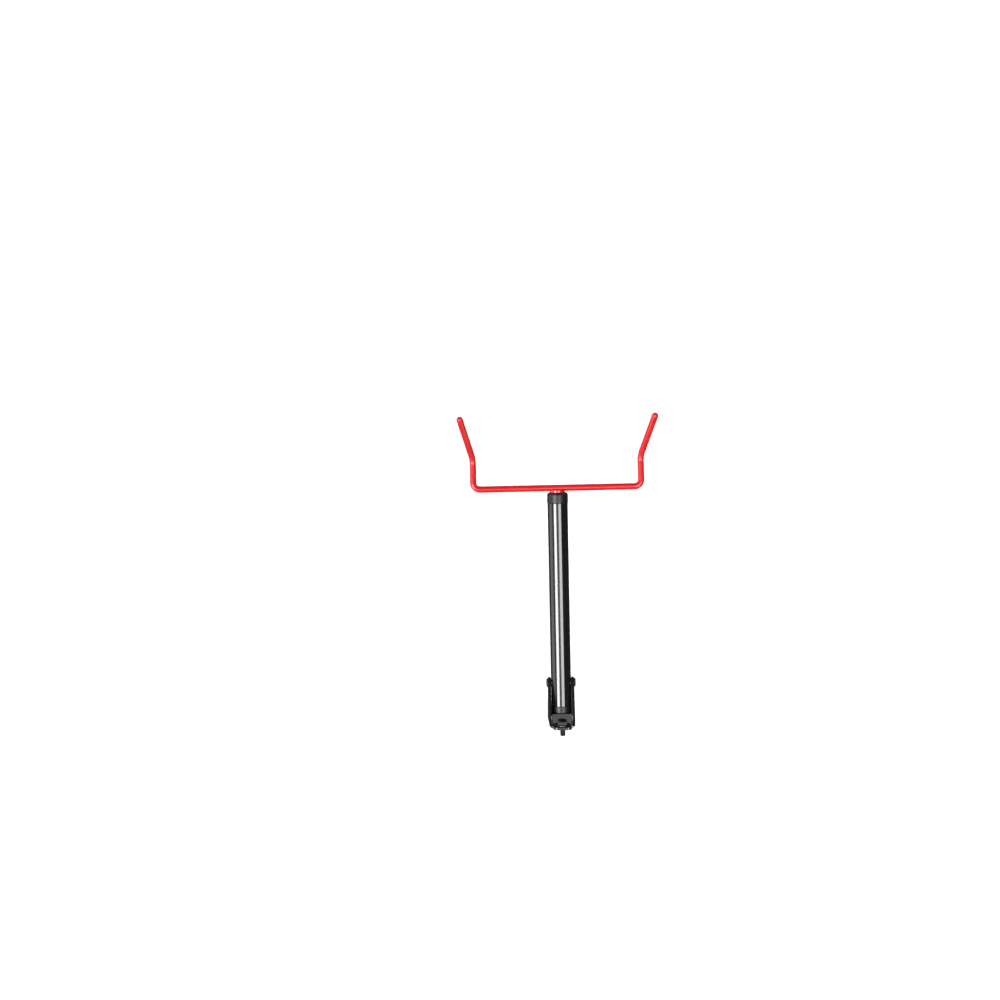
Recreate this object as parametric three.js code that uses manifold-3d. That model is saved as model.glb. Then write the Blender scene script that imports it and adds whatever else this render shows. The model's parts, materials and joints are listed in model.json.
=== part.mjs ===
// Fold-up bicycle wall rack: a steel bracket screwed to the wall, a round arm that hinges up
// flat against the wall, and a bent-rod cradle that turns about the arm's axis to suit a
// sloping frame tube. Millimetres and degrees. +Z is up, the wall is the plane y = 0, and the
// rack stands out from it towards -Y. The origin is the centre of the bracket's back face.

import * as THREE from 'three';
import { mergeVertices } from 'three/addons/utils/BufferGeometryUtils.js';
import Module from 'manifold-3d';

const wasm = await Module();
wasm.setup();

// Clearances
const faceGap = 0.3;       // between two pieces that bear on each other
const turnGap = 0.3;       // radial, round anything that turns or slides in a hole
const overCut = 1;         // how far a cutting solid runs past what it cuts
const overJoin = 0.6;      // how far two solids sink into each other where they are one piece

// Wall bracket: one pressed steel channel with a bridge across it
const plate = 4;           // steel thickness
const bracketHeight = 108;
const earGap = 0.5;        // between the arm and an ear
const bendRadius = 2;      // inside the channel's bends
const tabCorner = 6;
const pivotOut = 66;       // wall to the hinge axis
const pivotUp = 17;        // hinge axis above the bracket's centre
const earTip = 8.5;        // radius of the ear's end round the hinge
const earRise = 19;        // ear's top edge above the hinge, at the wall
const earDrop = 64;        // ear's lower edge below the hinge, at the wall
const bridgeOut = 21;      // wall to the bridge's front edge
const bridgeThick = 3;
const bridgeRoom = 1.5;    // at least this much between the bridge and the top washer
const lowerScrews = { mid: -11, low: -38 };

// Wall screws and their washers
const screwRadius = 4;
const screwLength = 16;    // under the head
const screwEnd = 1;        // chamfer on the screw's end
const screwHeadFlats = 13;
const screwHeadHeight = 5.3;
const washerRadius = 9;
const washerThick = 1.6;

// Hinge: a barrel with a low head, closed by a screw from the other side
const barrelRadius = 4;
const barrelWall = 1.5;
const barrelSocket = 24;   // depth of the barrel's threaded hole
const hingeScrewLength = 20;
const hingeHeadRadius = 6.5;
const hingeHeadHeight = 2.2;
const hingeKeyFlats = 4;
const hingeKeyDepth = 1.5;
const sleeveWall = 2.7;
const frictionThick = 0.4;

// Arm
const armRadius = 15;
const armWall = 2;
const armRise = 4;         // slope of the arm in use, up and away from the wall
const barOut = 358;        // wall to the axis of the cradle's back bar, in use
const tailReach = 54;      // hinge axis to the tail cap's end
const tailCollar = 20;
const tailPlug = 15;       // how far the tail cap goes into the tube
const tailRound = 2.5;
const capWall = 2;

// Cradle rod: back bar, two legs, two fingers
const rodRadius = 4.75;
const legSpacing = 250;    // axis to axis
const barCorner = 10;      // bend radius on the rod's axis
const legReach = 45.5;     // back bar axis to the point where the leg and finger lines meet
const legDrop = 8;         // slope of the leg, down and away from the arm
const crookRadius = 19;
const fingerReach = 88;
const fingerRise = 42;     // from the arm's axis
const fingerSplay = 15.5;

// Cradle stem and its bushes, inside the arm's front end
const stemWall = 2.5;
const bushWall = 1.4;
const stemDepth = 52;      // how far the stem goes into the tube
const stemShow = 1.8;      // stem between the front bush and the back bar
const stemSaddle = 1.7;    // how far the stem's end wraps the back bar
const bushStep = 0.5;      // front bush's collar proud of the tube
const frontCollar = 12;
const frontNose = 4;
const frontSleeve = 15;
const rearBush = 10;
const rearBushInset = 2;

// Tilt lock: a screw through a slot under the arm, into a nut fixed in the stem
const tiltRange = 20;      // each way
const tiltSpare = 2;       // slot beyond the screw at the end of the range, in degrees
const lockDepth = 27;      // tube's front end to the screw
const lockRadius = 3;
const lockHeadRadius = 5.25;
const lockHeadHeight = 3.3;
const lockKeyFlats = 4;
const lockKeyDepth = 2;
const lockNutFlats = 10;
const lockNutHeight = 5;
const saddleRadius = 9;
const saddleThick = 3.2;
const saddleWrap = 2.2;    // how far the saddle washer comes up the tube's sides

// Sizes that follow from those above; places along the arm are measured out from the hinge axis
const rad = THREE.MathUtils.degToRad;
const earSpace = 2 * (armRadius + earGap);
const barReach = (barOut - pivotOut) / Math.cos(rad(armRise));
const noseEnd = barReach - rodRadius - stemShow;
const tubeFront = noseEnd - frontNose - frontCollar;
const tubeTail = -(tailReach - tailCollar);
const tubeBore = armRadius - armWall;
const stemRear = tubeFront - stemDepth;
const lockReach = tubeFront - lockDepth;
const sleeveRadius = barrelRadius + turnGap + sleeveWall;
const barrelBore = barrelRadius - barrelWall;
const bushRadius = tubeBore - faceGap;
const bushBore = bushRadius - bushWall;
const stemRadius = bushBore - turnGap;
const coarse = 12;
const medium = 24;
const fine = 32;

// Solids

function solidOf(geometry) {
  geometry.deleteAttribute('normal');
  geometry.deleteAttribute('uv');
  const merged = mergeVertices(geometry, 1e-4);
  const points = merged.attributes.position.array;
  const corner = (i) => new THREE.Vector3().fromArray(points, 3 * i);
  const triangles = [];
  let volume = 0;
  for (let i = 0; i < merged.index.count; i += 3) {
    const [a, b, c] = [0, 1, 2].map((k) => merged.index.getX(i + k));
    if (a === b || b === c || c === a) continue;
    volume += corner(a).dot(corner(b).cross(corner(c)));
    triangles.push([a, b, c]);
  }
  const facing = volume < 0 ? triangles.map(([a, b, c]) => [a, c, b]) : triangles;
  return new wasm.Manifold(new wasm.Mesh({
    numProp: 3,
    vertProperties: new Float32Array(points),
    triVerts: new Uint32Array(facing.flat()),
  }));
}

function geometryOf(solid) {
  const { vertProperties, triVerts } = solid.getMesh();
  const geometry = new THREE.BufferGeometry();
  geometry.setAttribute('position', new THREE.BufferAttribute(vertProperties, 3));
  geometry.setIndex(new THREE.BufferAttribute(triVerts, 1));
  geometry.computeVertexNormals();
  return geometry;
}

const axisOf = {
  x: new THREE.Vector3(1, 0, 0),
  y: new THREE.Vector3(0, 1, 0),
  z: new THREE.Vector3(0, 0, 1),
};

// Turns a solid of revolution about Y so that its axis lies along the one named.
function alongAxis(geometry, axis) {
  const turn = new THREE.Quaternion().setFromUnitVectors(axisOf.y, axisOf[axis]);
  return geometry.applyQuaternion(turn);
}

// A turned solid: the profile is [radius, place along the axis], closed on itself or on the axis.
function turned(profile, axis, facets = medium) {
  const points = profile.map(([r, place]) => new THREE.Vector2(r, place));
  return solidOf(alongAxis(new THREE.LatheGeometry(points, facets), axis));
}

function rod(radius, from, to, axis, facets = medium) {
  return turned([[0, from], [radius, from], [radius, to], [0, to]], axis, facets);
}

function ring(outer, inner, from, to, axis, facets = medium) {
  const section = [[inner, from], [outer, from], [outer, to], [inner, to], [inner, from]];
  return turned(section, axis, facets);
}

// A hexagonal prism, measured across its flats.
function hexagon(flats, from, to, axis) {
  return rod(flats / Math.sqrt(3), from, to, axis, 6);
}

// An outline drawn in two axes and extruded along the third, which is the one named.
function extruded(shape, from, to, axis, curveSegments = coarse) {
  const geometry = new THREE.ExtrudeGeometry(shape, { depth: to - from, bevelEnabled: false, curveSegments });
  const { x, y, z } = axisOf;
  const frames = {
    x: new THREE.Matrix4().makeBasis(y, z, x),
    y: new THREE.Matrix4().makeBasis(z, x, y),
    z: new THREE.Matrix4(),
  };
  geometry.translate(0, 0, from);
  return solidOf(geometry.applyMatrix4(frames[axis]));
}

// A rectangle centred on the origin, with rounded corners.
function roundedRectangle(width, height, corner) {
  const [w, h] = [width / 2, height / 2];
  const shape = new THREE.Shape();
  shape.moveTo(w - corner, -h);
  shape.absarc(w - corner, -h + corner, corner, -Math.PI / 2, 0);
  shape.absarc(w - corner, h - corner, corner, 0, Math.PI / 2);
  shape.absarc(-w + corner, h - corner, corner, Math.PI / 2, Math.PI);
  shape.absarc(-w + corner, -h + corner, corner, Math.PI, 1.5 * Math.PI);
  shape.closePath();
  return shape;
}

// Pieces

const finish = {
  blackPaint: { color: 0x0c0c0e, roughness: 0.18, metalness: 0.0 },
  redPaint: { color: 0xd81f26, roughness: 0.25, metalness: 0.0 },
  zinc: { color: 0xb9bdc2, roughness: 0.35, metalness: 1.0 },
  blackSteel: { color: 0x1b1b1e, roughness: 0.4, metalness: 0.8 },
  blackPlastic: { color: 0x141416, roughness: 0.45, metalness: 0.0 },
  nylon: { color: 0xdedbd0, roughness: 0.5, metalness: 0.0 },
};

const rack = new THREE.Group();

const arm = new THREE.Group();
arm.position.set(0, -pivotOut, pivotUp);
arm.rotation.x = -rad(armRise);
rack.add(arm);

function addPiece(group, name, solid, look) {
  const mesh = new THREE.Mesh(geometryOf(solid), new THREE.MeshStandardMaterial(finish[look]));
  mesh.name = name;
  group.add(mesh);
  return mesh;
}

// Wall bracket

// The channel seen from above: back web on the wall, an ear down each side.
function channelOutline() {
  const inner = earSpace / 2;
  const outer = inner + plate;
  const outerBend = bendRadius + plate;
  const reach = pivotOut + earTip + overCut;
  const shape = new THREE.Shape();
  shape.moveTo(-outer, -reach);
  shape.lineTo(-inner, -reach);
  shape.absarc(-inner + bendRadius, -plate - bendRadius, bendRadius, Math.PI, Math.PI / 2, true);
  shape.absarc(inner - bendRadius, -plate - bendRadius, bendRadius, Math.PI / 2, 0, true);
  shape.lineTo(inner, -reach);
  shape.lineTo(outer, -reach);
  shape.absarc(outer - outerBend, -outerBend, outerBend, 0, Math.PI / 2);
  shape.absarc(-outer + outerBend, -outerBend, outerBend, Math.PI / 2, Math.PI);
  shape.closePath();
  return shape;
}

// The ear seen from the side: a gusset from the wall that ends round the hinge.
function earOutline() {
  const tangentAngle = (height, side) => {
    const across = new THREE.Vector2(pivotOut, height);
    return across.angle() + side * Math.acos(earTip / across.length());
  };
  const shape = new THREE.Shape();
  shape.moveTo(0, pivotUp - earDrop);
  shape.lineTo(0, pivotUp + earRise);
  const start = tangentAngle(earRise, 1);
  const end = tangentAngle(-earDrop, -1);
  shape.absarc(-pivotOut, pivotUp, earTip, start, end);
  shape.closePath();
  return shape;
}

// The bridge's underside is the stop that the arm's tail comes up against in use.
function bridgeUnderside() {
  const slope = rad(armRise);
  const tailAtFront = (bridgeOut - pivotOut + armRadius * Math.sin(slope)) / Math.cos(slope);
  return pivotUp + tailAtFront * Math.sin(slope) + armRadius * Math.cos(slope) + faceGap;
}

const bridgeTop = bridgeUnderside() + bridgeThick;
const screwHeights = { top: Math.ceil(bridgeTop + bridgeRoom + washerRadius), ...lowerScrews };

function bracketSolid() {
  const half = bracketHeight / 2;
  const width = earSpace + 2 * plate;
  const tabWidth = width - 2 * (bendRadius + plate);
  const channel = extruded(channelOutline(), -half, half, 'z');
  const sides = extruded(earOutline(), -width, width, 'x', medium);
  const tab = extruded(roundedRectangle(bracketHeight, tabWidth, tabCorner), -plate, 0, 'y');
  const bridgeSpan = new THREE.Shape();
  const bridgeHalf = earSpace / 2 + overJoin;
  bridgeSpan.moveTo(-bridgeHalf, -bridgeOut);
  bridgeSpan.lineTo(bridgeHalf, -bridgeOut);
  bridgeSpan.lineTo(bridgeHalf, -plate + overJoin);
  bridgeSpan.lineTo(-bridgeHalf, -plate + overJoin);
  const bridge = extruded(bridgeSpan, bridgeUnderside(), bridgeTop, 'z');
  let solid = channel.intersect(sides).add(tab).add(bridge);
  const hinge = rod(barrelRadius + turnGap, -width, width, 'x').translate([0, -pivotOut, pivotUp]);
  solid = solid.subtract(hinge);
  for (const height of Object.values(screwHeights)) {
    const hole = rod(screwRadius + faceGap, -plate - overCut, overCut, 'y');
    solid = solid.subtract(hole.translate([0, 0, height]));
  }
  return solid;
}

addPiece(rack, 'wall_bracket', bracketSolid(), 'blackPaint');

// Wall screws

const washerBack = -plate - faceGap;
const headBack = washerBack - washerThick - faceGap;

function wallScrewSolid() {
  const tip = headBack + screwLength;
  const shank = turned([
    [0, headBack - overJoin],
    [screwRadius, headBack - overJoin],
    [screwRadius, tip - screwEnd],
    [screwRadius - screwEnd, tip],
    [0, tip],
  ], 'y', coarse);
  return shank.add(hexagon(screwHeadFlats, headBack - screwHeadHeight, headBack, 'y'));
}

for (const [place, height] of Object.entries(screwHeights)) {
  const washer = ring(washerRadius, screwRadius + faceGap, washerBack - washerThick, washerBack, 'y');
  addPiece(rack, `wall_washer_${place}`, washer, 'blackSteel').position.z = height;
  addPiece(rack, `wall_screw_${place}`, wallScrewSolid(), 'blackSteel').position.z = height;
}

// Hinge

// A low domed head with a hexagonal socket, its flat side at `seat`, rising towards `side`.
function lowHead(radius, height, keyFlats, keyDepth, seat, side, axis) {
  const rise = (share) => seat + side * height * share;
  const head = turned([[0, seat], [radius, seat], [radius, rise(0.4)], [0.9 * radius, rise(0.75)],
    [0.66 * radius, rise(1)], [0, rise(1)]], axis);
  const floor = rise(1) - side * keyDepth;
  const mouth = rise(1) + side * overCut;
  return head.subtract(hexagon(keyFlats, Math.min(floor, mouth), Math.max(floor, mouth), axis));
}

const hingeSeat = earSpace / 2 + plate + faceGap;

function barrelSolid() {
  const end = hingeSeat - faceGap;
  const head = lowHead(hingeHeadRadius, hingeHeadHeight, hingeKeyFlats, hingeKeyDepth, -hingeSeat, -1, 'x');
  const shaft = rod(barrelRadius, -hingeSeat - overJoin, end, 'x');
  const bore = rod(barrelBore, end - barrelSocket, end + overCut, 'x');
  return shaft.add(head).subtract(bore);
}

function hingeScrewSolid() {
  const head = lowHead(hingeHeadRadius, hingeHeadHeight, hingeKeyFlats, hingeKeyDepth, hingeSeat, 1, 'x');
  const shank = rod(barrelBore - faceGap, hingeSeat - hingeScrewLength, hingeSeat + overJoin, 'x');
  return shank.add(head);
}

for (const [name, solid] of [['hinge_barrel', barrelSolid()], ['hinge_screw', hingeScrewSolid()]]) {
  addPiece(rack, name, solid, 'blackSteel').position.set(0, -pivotOut, pivotUp);
}

for (const [side, sign] of [['left', -1], ['right', 1]]) {
  const outerFace = earSpace / 2 - faceGap;
  const faces = [sign * outerFace, sign * (outerFace - frictionThick)];
  const washer = ring(sleeveRadius, barrelRadius + turnGap, Math.min(...faces), Math.max(...faces), 'x');
  addPiece(rack, `friction_washer_${side}`, washer, 'blackPlastic').position.set(0, -pivotOut, pivotUp);
}

// Arm

// Everything along the arm is turned about its local Y axis, and outwards is -Y.
const out = (reach) => -reach;

function armTubeSolid() {
  const tube = ring(armRadius, tubeBore, out(tubeFront), out(tubeTail), 'y', fine);
  const hingeHole = rod(sleeveRadius + faceGap, -armRadius - overCut, armRadius + overCut, 'x');
  return tube.subtract(hingeHole).subtract(tiltSlotSolid());
}

// The slot under the tube lets the lock screw swing to the end of the cradle's range.
function tiltSlotSolid() {
  const screwAngle = Math.asin(lockRadius / tubeBore);
  const halfAngle = rad(tiltRange + tiltSpare) + screwAngle;
  const halfWidth = lockRadius + turnGap;
  const down = Math.PI;
  const sector = new THREE.Shape();
  const [inner, outer] = [tubeBore - overCut, armRadius + overCut];
  sector.absarc(0, 0, outer, down - halfAngle, down + halfAngle);
  sector.absarc(0, 0, inner, down + halfAngle, down - halfAngle, true);
  sector.closePath();
  return extruded(sector, out(lockReach) - halfWidth, out(lockReach) + halfWidth, 'y', coarse);
}

function hingeSleeveSolid() {
  const half = earSpace / 2 - frictionThick - 2 * faceGap;
  return ring(sleeveRadius, barrelRadius + turnGap, -half, half, 'x');
}

function tailCapSolid() {
  const end = out(-tailReach);
  const mouth = out(tubeTail + tailPlug);
  const seat = out(tubeTail - faceGap);
  const corner = [0, 30, 60, 90].map((angle) => [
    armRadius - tailRound * (1 - Math.cos(rad(angle))),
    end - tailRound * (1 - Math.sin(rad(angle))),
  ]);
  return turned([
    [0, end],
    ...corner.reverse(),
    [armRadius, seat],
    [bushRadius, seat],
    [bushRadius, mouth],
    [bushRadius - capWall, mouth],
    [bushRadius - capWall, end - tailRound - capWall],
    [0, end - tailRound - capWall],
  ], 'y', fine);
}

function frontBushSolid() {
  const collar = armRadius + bushStep;
  const nose = [0, 30, 60, 90].map((angle) => [
    collar - frontNose * (1 - Math.cos(rad(angle))),
    out(noseEnd - frontNose + frontNose * Math.sin(rad(angle))),
  ]);
  return turned([
    [bushBore, out(tubeFront - frontSleeve)],
    [bushRadius, out(tubeFront - frontSleeve)],
    [bushRadius, out(tubeFront + faceGap)],
    [collar, out(tubeFront + faceGap)],
    ...nose,
    [bushBore, out(noseEnd)],
    [bushBore, out(tubeFront - frontSleeve)],
  ], 'y', fine);
}

function rearBushSolid() {
  const from = stemRear + rearBushInset;
  return ring(bushRadius, bushBore, out(from + rearBush), out(from), 'y', fine);
}

addPiece(arm, 'arm_tube', armTubeSolid(), 'blackPaint');
addPiece(arm, 'hinge_sleeve', hingeSleeveSolid(), 'blackPaint');
addPiece(arm, 'tail_cap', tailCapSolid(), 'blackPlastic');
addPiece(arm, 'front_bush', frontBushSolid(), 'blackPlastic');
addPiece(arm, 'rear_bush', rearBushSolid(), 'nylon');

// Cradle

// The axis of a bent rod: straight runs between corner points, joined by arcs.
class BentRodAxis extends THREE.Curve {
  constructor(corners, radii, arcSteps) {
    super();
    this.stations = [corners[0]];
    for (let i = 1; i < corners.length - 1; i += 1) {
      this.stations.push(...BentRodAxis.arc(corners[i - 1], corners[i], corners[i + 1], radii[i - 1], arcSteps));
    }
    this.stations.push(corners.at(-1));
  }

  // Points on the arc that joins the runs before and after a corner.
  static arc(before, corner, after, radius, steps) {
    const back = before.clone().sub(corner).normalize();
    const ahead = after.clone().sub(corner).normalize();
    const half = back.angleTo(ahead) / 2;
    const toCentre = back.clone().add(ahead).setLength(radius / Math.sin(half));
    const start = back.clone().multiplyScalar(radius / Math.tan(half)).sub(toCentre);
    const end = ahead.clone().multiplyScalar(radius / Math.tan(half)).sub(toCentre);
    const axis = start.clone().cross(end).normalize();
    const sweep = start.angleTo(end);
    return Array.from({ length: steps + 1 }, (_, i) =>
      start.clone().applyAxisAngle(axis, (sweep * i) / steps).add(toCentre).add(corner));
  }

  get steps() {
    return this.stations.length - 1;
  }

  getUtoTmapping(u) {
    return u;
  }

  getPoint(t, target = new THREE.Vector3()) {
    const place = Math.min(t, 1) * this.steps;
    const i = Math.min(Math.floor(place), this.steps - 1);
    return target.lerpVectors(this.stations[i], this.stations[i + 1], place - i);
  }

  // The direction at a station is midway between the runs on each side of it.
  getTangent(t, target = new THREE.Vector3()) {
    const i = Math.round(t * this.steps);
    const run = (k) => this.stations[k + 1].clone().sub(this.stations[k]).normalize();
    target.set(0, 0, 0);
    if (i > 0) target.add(run(i - 1));
    if (i < this.steps) target.add(run(i));
    return target.normalize();
  }
}

// Corner points of the rod from the back bar's corner to the finger's tip, on one side.
function hookCorners(sign) {
  const barEnd = new THREE.Vector3(sign * legSpacing / 2, out(barReach), 0);
  const leg = new THREE.Vector3(0, -Math.cos(rad(legDrop)), -Math.sin(rad(legDrop)));
  const crook = barEnd.clone().addScaledVector(leg, legReach);
  const level = Math.cos(rad(fingerRise));
  const finger = new THREE.Vector3(
    sign * level * Math.sin(rad(fingerSplay)),
    -level * Math.cos(rad(fingerSplay)),
    Math.sin(rad(fingerRise)),
  );
  const tip = crook.clone().addScaledVector(finger, fingerReach - rodRadius);
  return [tip, crook, barEnd];
}

function cradleRodSolid() {
  const left = hookCorners(-1);
  const right = hookCorners(1).reverse();
  const radii = [crookRadius, barCorner, barCorner, crookRadius];
  const axis = new BentRodAxis([...left, ...right], radii, 6);
  const section = new THREE.Shape().absarc(0, 0, rodRadius, 0, 2 * Math.PI);
  const options = { steps: axis.steps, extrudePath: axis, bevelEnabled: false, curveSegments: coarse };
  let solid = solidOf(new THREE.ExtrudeGeometry(section, options));
  for (const tip of [left[0], right.at(-1)]) {
    const end = solidOf(new THREE.SphereGeometry(rodRadius, coarse, 8));
    solid = solid.add(end.translate(tip.toArray()));
  }
  return solid;
}

// The nut sits as low in the stem's bore as its corners let it, and has a pocket if they don't.
const nutCorner = lockNutFlats / Math.sqrt(3);
const nutRoom = Math.max((stemRadius - stemWall) ** 2 - nutCorner ** 2, 0);
const nutSeat = -Math.sqrt(nutRoom) + 2 * faceGap;

function cradleStemSolid() {
  const bore = stemRadius - stemWall;
  const front = barReach - rodRadius + stemSaddle;
  const floor = front - stemSaddle - stemWall;
  const stem = turned([
    [bore, out(stemRear)],
    [stemRadius, out(stemRear)],
    [stemRadius, out(front)],
    [0, out(front)],
    [0, out(floor)],
    [bore, out(floor)],
    [bore, out(stemRear)],
  ], 'y', fine);
  const bar = rod(rodRadius + faceGap, -armRadius, armRadius, 'x').translate([0, out(barReach), 0]);
  const screw = rod(lockRadius + faceGap, -stemRadius - overCut, 0, 'z').translate([0, out(lockReach), 0]);
  const pocket = hexagon(lockNutFlats + 2 * faceGap, nutSeat, nutSeat + lockNutHeight + faceGap, 'z');
  return stem.subtract(bar).subtract(screw).subtract(pocket.translate([0, out(lockReach), 0]));
}

function lockNutSolid() {
  const nut = hexagon(lockNutFlats, nutSeat, nutSeat + lockNutHeight, 'z');
  return nut.subtract(rod(lockRadius + faceGap, nutSeat - overCut, nutSeat + lockNutHeight + overCut, 'z'));
}

const saddleTop = -(armRadius + faceGap);
const saddleSeat = saddleTop - saddleThick;

function saddleWasherSolid() {
  const disc = ring(saddleRadius, lockRadius + faceGap, saddleSeat, saddleTop + saddleWrap, 'z');
  return disc.subtract(rod(-saddleTop, -2 * saddleRadius, 2 * saddleRadius, 'y', fine));
}

function lockScrewSolid() {
  const seat = saddleSeat - faceGap;
  const head = lowHead(lockHeadRadius, lockHeadHeight, lockKeyFlats, lockKeyDepth, seat, -1, 'z');
  const shank = rod(lockRadius, seat - overJoin, nutSeat + lockNutHeight + overCut, 'z', coarse);
  return shank.add(head);
}

addPiece(arm, 'cradle_rod', cradleRodSolid(), 'redPaint');
addPiece(arm, 'cradle_stem', cradleStemSolid(), 'redPaint');
for (const [name, solid, look] of [
  ['lock_nut', lockNutSolid(), 'zinc'],
  ['saddle_washer', saddleWasherSolid(), 'blackPlastic'],
  ['lock_screw', lockScrewSolid(), 'blackSteel'],
]) {
  addPiece(arm, name, solid, look).position.y = out(lockReach);
}

export default rack;
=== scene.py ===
import json
import math

import bmesh
import bpy
from mathutils import Matrix, Quaternion, Vector


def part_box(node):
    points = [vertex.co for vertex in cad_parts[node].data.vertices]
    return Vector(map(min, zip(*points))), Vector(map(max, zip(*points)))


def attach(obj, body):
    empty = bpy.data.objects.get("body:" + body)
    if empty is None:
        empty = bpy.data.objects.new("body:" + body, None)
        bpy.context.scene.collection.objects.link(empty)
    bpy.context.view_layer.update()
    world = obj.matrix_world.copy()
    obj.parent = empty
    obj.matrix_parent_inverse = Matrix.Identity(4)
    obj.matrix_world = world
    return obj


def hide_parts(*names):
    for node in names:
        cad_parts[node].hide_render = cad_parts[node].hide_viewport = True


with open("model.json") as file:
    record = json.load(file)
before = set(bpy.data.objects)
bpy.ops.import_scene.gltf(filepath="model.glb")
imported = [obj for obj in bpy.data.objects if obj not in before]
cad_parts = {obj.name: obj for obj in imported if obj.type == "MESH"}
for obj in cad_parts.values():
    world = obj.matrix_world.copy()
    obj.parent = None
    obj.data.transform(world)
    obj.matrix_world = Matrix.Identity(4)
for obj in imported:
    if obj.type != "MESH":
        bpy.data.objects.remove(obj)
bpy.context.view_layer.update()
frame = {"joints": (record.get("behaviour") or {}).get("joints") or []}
mm = 0.001

# The frame: x to the right of someone facing the wall, y into the wall, z up. The arm has a frame
# of its own at the hinge, with its y running back along the tube towards the wall.
joints = {joint["name"]: joint for joint in frame["joints"]}
hingePoint = Vector(joints["arm_fold"]["pos_m"])
armOutward = Vector(joints["cradle_tilt"]["axis"]).normalized()
armX = Vector((1, 0, 0))
armY = -armOutward
armZ = armX.cross(armY)
armPlace = Matrix.Translation(hingePoint) @ Matrix((armX, armY, armZ)).transposed().to_4x4()
print("frame: hinge at", [round(v, 4) for v in hingePoint])


# shapes
def arc2d(centre, radius, start, end, step=10):
    # points on an arc in a plane, angles in degrees
    count = max(2, math.ceil(abs(end - start) / step))
    angles = [math.radians(start + (end - start) * i / count) for i in range(count + 1)]
    return [(centre[0] + radius * math.cos(a), centre[1] + radius * math.sin(a)) for a in angles]


def filleted(corners, closed=True, step=15):
    # corners are (x, y, radius); a radius of nought leaves the corner sharp
    points = []
    last = len(corners) - 1
    for i, (x, y, radius) in enumerate(corners):
        here = Vector((x, y))
        if radius == 0 or (not closed and i in (0, last)):
            points.append((x, y))
            continue
        back = (Vector(corners[i - 1][:2]) - here).normalized()
        ahead = (Vector(corners[(i + 1) % (last + 1)][:2]) - here).normalized()
        half = back.angle(ahead) / 2
        centre = here + (back + ahead).normalized() * (radius / math.sin(half))
        start = here + back * (radius / math.tan(half)) - centre
        end = here + ahead * (radius / math.tan(half)) - centre
        first = math.degrees(math.atan2(start.y, start.x))
        turn = (math.degrees(math.atan2(end.y, end.x)) - first + 180) % 360 - 180
        points += arc2d(centre, radius, first, first + turn, step)
    return points


def filletedPath(corners, radii, step=3):
    # a rod's axis in space: straight runs joined by arcs
    path = [corners[0]]
    for before, corner, after, radius in zip(corners, corners[1:], corners[2:], radii):
        back = (before - corner).normalized()
        ahead = (after - corner).normalized()
        half = back.angle(ahead) / 2
        centre = corner + (back + ahead).normalized() * (radius / math.sin(half))
        start = corner + back * (radius / math.tan(half)) - centre
        end = corner + ahead * (radius / math.tan(half)) - centre
        axis = start.cross(end).normalized()
        sweep = start.angle(end)
        count = max(2, math.ceil(math.degrees(sweep) / step))
        for i in range(count + 1):
            path.append(centre + Quaternion(axis, sweep * i / count) @ start)
    path.append(corners[-1])
    return path


def circleRing(radius, along, sides):
    # a ring about local y; radius and along may be functions of the angle
    ring = []
    for i in range(sides):
        angle = 2 * math.pi * i / sides
        r = radius(angle) if callable(radius) else radius
        a = along(angle) if callable(along) else along
        ring.append((r * math.cos(angle), a, r * math.sin(angle)))
    return ring


def circleRings(stations, sides):
    return [circleRing(radius, along, sides) for radius, along in stations]


def tubeRings(path, radiusAt, sides):
    # rings round a path, with no twist from one to the next; radiusAt takes the station's number
    rings = []
    side = None
    for i, point in enumerate(path):
        ahead = (path[min(i + 1, len(path) - 1)] - path[max(i - 1, 0)]).normalized()
        if 0 < i < len(path) - 1:
            before = (point - path[i - 1]).normalized()
            after = (path[i + 1] - point).normalized()
            ahead = (before + after).normalized()
        side = ahead.orthogonal() if side is None else side - ahead * side.dot(ahead)
        side.normalize()
        other = ahead.cross(side)
        radius = radiusAt(i)
        ring = []
        for k in range(sides):
            angle = 2 * math.pi * k / sides
            ring.append(point + side * (radius * math.cos(angle)) + other * (radius * math.sin(angle)))
        rings.append(ring)
    return rings


def roundedEnds(path, radius, steps=8):
    # the path with a half ball added at each end, and the radius at each of its stations
    stations = [(point, radius) for point in path]
    for end, neighbour, atStart in ((path[0], path[1], True), (path[-1], path[-2], False)):
        beyond = (end - neighbour).normalized()
        ball = []
        for i in range(1, steps + 1):
            angle = math.pi / 2 * i / steps
            ball.append((end + beyond * (radius * math.sin(angle)), max(radius * math.cos(angle), 0.0)))
        stations = ball[::-1] + stations if atStart else stations + ball
    return [s[0] for s in stations], [s[1] for s in stations]


def meshObject(name, shape):
    data = bpy.data.meshes.new(name)
    shape.to_mesh(data)
    shape.free()
    piece = bpy.data.objects.new(name, data)
    bpy.context.scene.collection.objects.link(piece)
    return piece


def closeMesh(name, shape, place):
    # welds, faces everything outwards, goes to metres and takes its place in the rack
    bmesh.ops.remove_doubles(shape, verts=shape.verts, dist=1e-4)
    bmesh.ops.dissolve_degenerate(shape, dist=1e-5, edges=shape.edges)
    bmesh.ops.recalc_face_normals(shape, faces=shape.faces)
    piece = meshObject(name, shape)
    piece.data.transform(place @ Matrix.Scale(mm, 4))
    return piece


def skin(name, rings, place, closed=False):
    # a surface over rings with the same number of points; open ends are capped
    shape = bmesh.new()
    grid = [[shape.verts.new(point) for point in ring] for ring in rings]
    sides = len(rings[0])
    pairs = list(zip(grid, grid[1:]))
    if closed:
        pairs.append((grid[-1], grid[0]))
    for low, high in pairs:
        for i in range(sides):
            j = (i + 1) % sides
            shape.faces.new((low[i], low[j], high[j], high[i]))
    if not closed:
        for ring in (grid[0], grid[-1]):
            spread = max((v.co - ring[0].co).length for v in ring)
            if spread > 1e-3:
                shape.faces.new(ring)
    return closeMesh(name, shape, place)


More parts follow.
